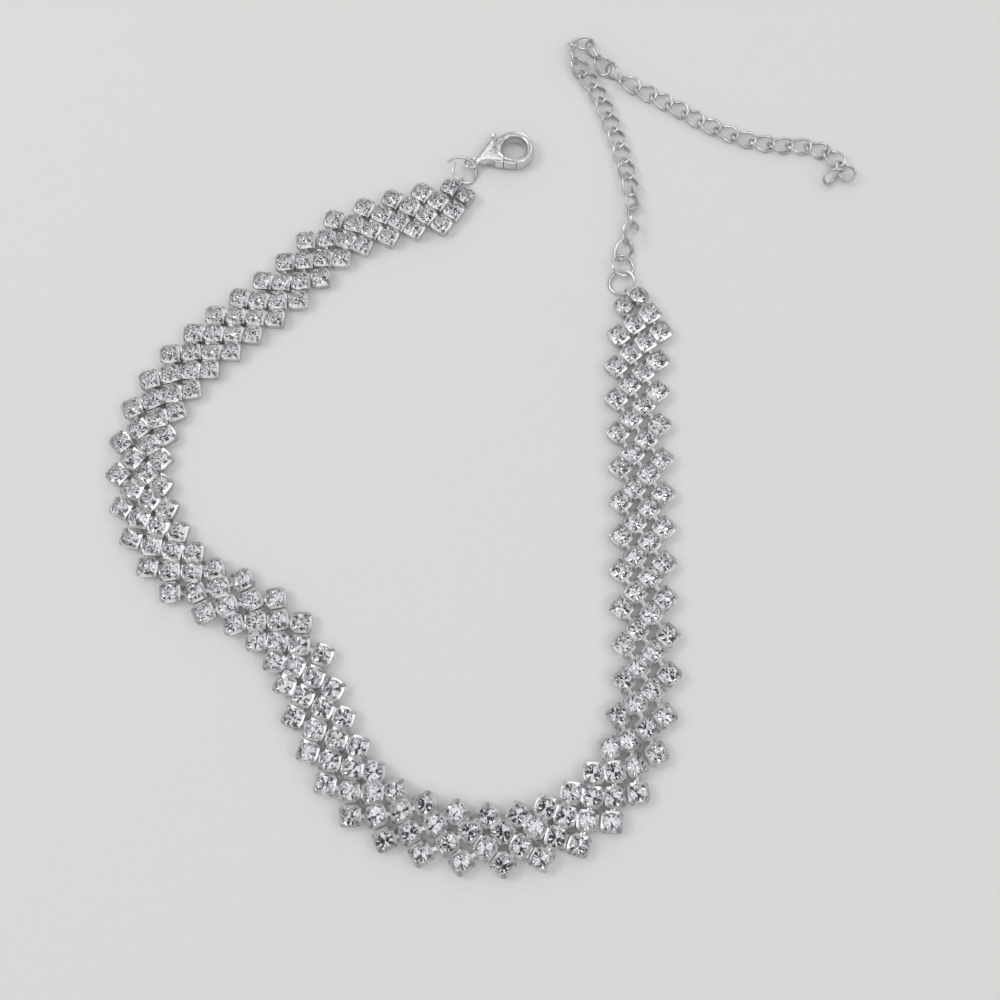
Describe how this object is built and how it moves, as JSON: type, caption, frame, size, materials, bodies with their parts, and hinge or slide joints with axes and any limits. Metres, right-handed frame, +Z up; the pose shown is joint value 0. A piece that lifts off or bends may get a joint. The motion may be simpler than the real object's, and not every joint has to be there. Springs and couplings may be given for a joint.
{
  "type": "choker necklace",
  "caption": "Choker necklace of clear round stones in square plated cups, laid in slanted rows, with jump rings, a curb extender chain and a sprung lobster clasp, lying flat.",
  "frame": {"origin": "bottom centre of the bounding box; the cups' flat backs lie on z = 0", "axes": "+Z up, out of the stones' faces; +Y from the middle of the band towards its two ends; +X towards the extender chain's end"},
  "size_m": [0.1522, 0.1766, 0.0038],
  "materials": {
    "plated_cups": "bright silver plate round clear foil-backed glass stones",
    "plated_chain": "bright silver plate",
    "plated_rings": "bright silver plate",
    "plated_clasp": "bright silver plate, cast and tumbled"
  },
  "bodies": {
    "necklace": {"rhinestone_band": "plated_cups", "end_ring_1": "plated_rings", "end_ring_2": "plated_rings", "chain_link_01": "plated_chain", "chain_link_02": "plated_chain", "chain_link_03": "plated_chain", "chain_link_04": "plated_chain", "chain_link_05": "plated_chain", "chain_link_06": "plated_chain", "chain_link_07": "plated_chain", "chain_link_08": "plated_chain", "chain_link_09": "plated_chain", "chain_link_10": "plated_chain", "chain_link_11": "plated_chain", "chain_link_12": "plated_chain", "chain_link_13": "plated_chain", "chain_link_14": "plated_chain", "chain_link_15": "plated_chain", "chain_link_16": "plated_chain", "chain_link_17": "plated_chain", "chain_link_18": "plated_chain", "chain_link_19": "plated_chain", "chain_link_20": "plated_chain", "chain_link_21": "plated_chain", "chain_link_22": "plated_chain", "chain_link_23": "plated_chain", "chain_link_24": "plated_chain", "chain_link_25": "plated_chain", "chain_link_26": "plated_chain", "chain_link_27": "plated_chain", "chain_link_28": "plated_chain", "chain_link_29": "plated_chain", "chain_link_30": "plated_chain", "chain_link_31": "plated_chain", "chain_link_32": "plated_chain", "chain_link_33": "plated_chain", "clasp_ring": "plated_rings", "clasp_body": "plated_clasp"},
    "lever": {"clasp_lever": "plated_clasp"}
  },
  "joints": [
    {"name": "clasp_lever_hinge", "type": "hinge", "parent": "necklace", "child": "lever", "pos_m": [-0.00143, 0.05805, 0.00146], "axis": [0, 0, 1], "range_deg": [0, 30], "stiffness_Nm_per_rad": 0.01, "springref_deg": -14.32}
  ]
}
